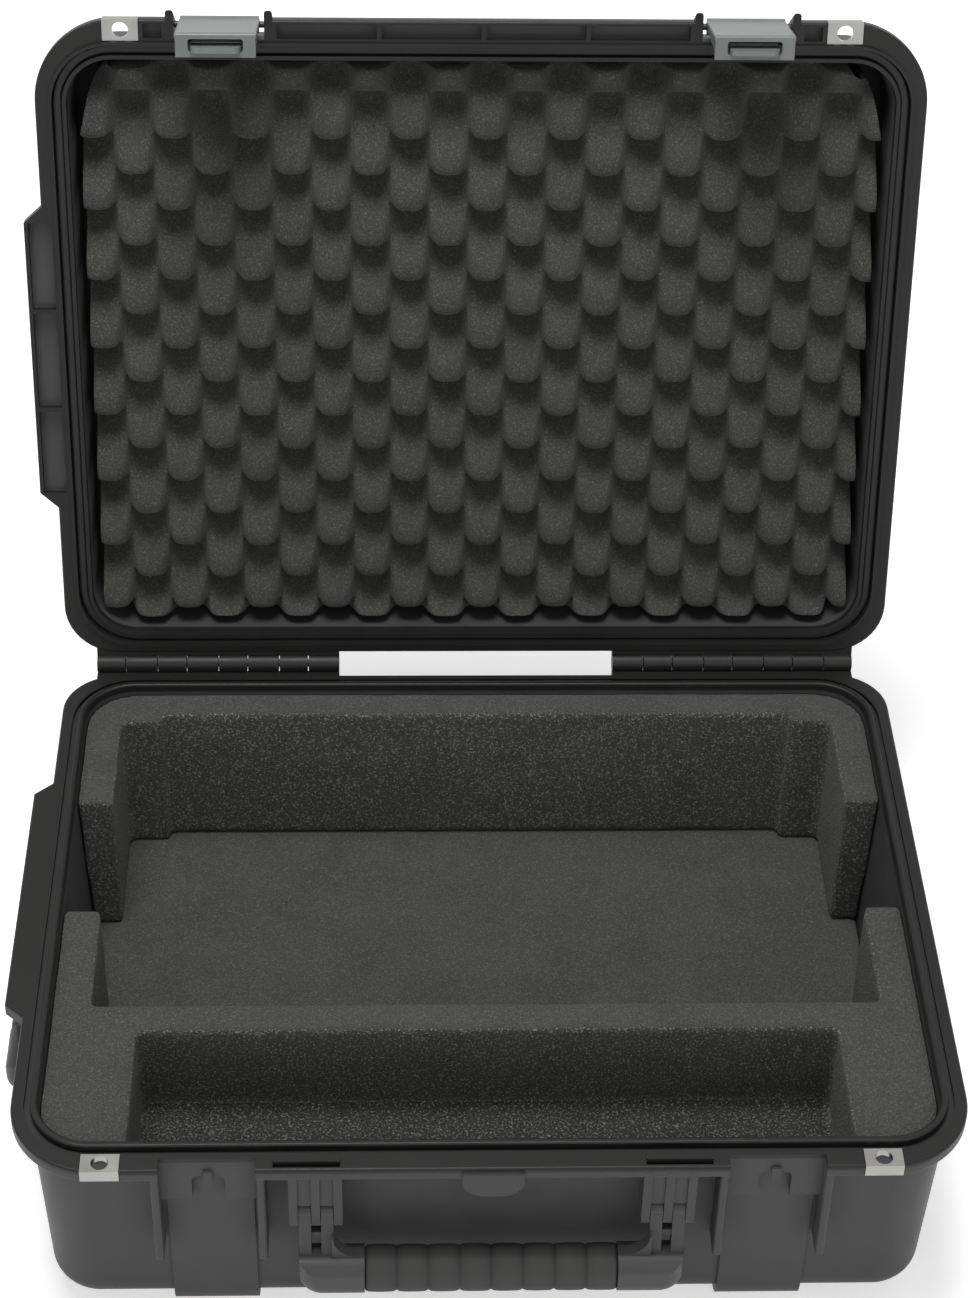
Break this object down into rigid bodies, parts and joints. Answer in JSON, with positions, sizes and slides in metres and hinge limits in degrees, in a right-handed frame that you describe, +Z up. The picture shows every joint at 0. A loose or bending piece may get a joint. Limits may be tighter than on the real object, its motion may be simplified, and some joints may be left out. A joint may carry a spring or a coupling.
{
  "type": "hard equipment case",
  "caption": "Open moulded hard case with a hinged lid, trigger latches, carry handles, convoluted lid foam and a foam-lined base with a device bay and an accessory tray.",
  "frame": {"origin": "centre of the panel on the underside, on the ground the case stands on", "axes": "+X to the right along the front, -Y out of the front with the handle and latches, +Z up"},
  "size_m": [0.5717, 0.5969, 0.5939],
  "materials": {
    "shell": "fine moulded texture, matte",
    "foam": "open-cell foam, matte",
    "latch": "smooth moulded, satin",
    "steel": "satin",
    "grip": "soft matte",
    "seal": "soft matte"
  },
  "bodies": {
    "base": {"base_shell": "shell", "base_foam_front": "foam", "base_foam_rear": "foam", "base_foam_pad": "foam", "hinge_pin_left": "steel", "hinge_pin_right": "steel", "base_lock_plate_left": "steel", "base_lock_plate_right": "steel", "front_handle_pin_left": "steel", "front_handle_pin_right": "steel", "side_handle_pin_front": "steel", "side_handle_pin_rear": "steel", "valve_body": "shell", "valve_seal": "seal", "valve_nut": "shell"},
    "lid": {"lid_shell": "shell", "lid_foam": "foam", "lid_gasket": "seal", "lid_lock_plate_left": "steel", "lid_lock_plate_right": "steel", "latch_pin_left": "steel", "latch_pin_right": "steel"},
    "latch_left": {"latch_left": "latch", "trigger_pin_left": "steel"},
    "latch_right": {"latch_right": "latch", "trigger_pin_right": "steel"},
    "trigger_left": {"trigger_left": "latch"},
    "trigger_right": {"trigger_right": "latch"},
    "front_handle": {"front_handle_frame": "shell", "front_handle_grip": "grip"},
    "side_handle": {"side_handle_frame": "shell", "side_handle_grip": "grip"}
  },
  "joints": [
    {"name": "lid_hinge", "type": "hinge", "parent": "base", "child": "lid", "pos_m": [0, 0.2216, 0.1516], "axis": [1, 0, 0], "range_deg": [0, 102.45]},
    {"name": "latch_left_hinge", "type": "hinge", "parent": "lid", "child": "latch_left", "pos_m": [-0.1616, 0.32411, 0.57557], "axis": [-1, 0, 0], "range_deg": [0, 110]},
    {"name": "trigger_left_hinge", "type": "hinge", "parent": "latch_left", "child": "trigger_left", "pos_m": [-0.1616, 0.28518, 0.58386], "axis": [-1, 0, 0], "range_deg": [0, 12], "stiffness_Nm_per_rad": 0.05},
    {"name": "latch_right_hinge", "type": "hinge", "parent": "lid", "child": "latch_right", "pos_m": [0.1616, 0.32411, 0.57557], "axis": [-1, 0, 0], "range_deg": [0, 110]},
    {"name": "trigger_right_hinge", "type": "hinge", "parent": "latch_right", "child": "trigger_right", "pos_m": [0.1616, 0.28518, 0.58386], "axis": [-1, 0, 0], "range_deg": [0, 12], "stiffness_Nm_per_rad": 0.05},
    {"name": "front_handle_hinge", "type": "hinge", "parent": "base", "child": "front_handle", "pos_m": [0, -0.2146, 0.1095], "axis": [-1, 0, 0], "range_deg": [0, 95]},
    {"name": "side_handle_hinge", "type": "hinge", "parent": "base", "child": "side_handle", "pos_m": [-0.2761, 0.002, 0.1095], "axis": [0, 1, 0], "range_deg": [0, 95]}
  ]
}
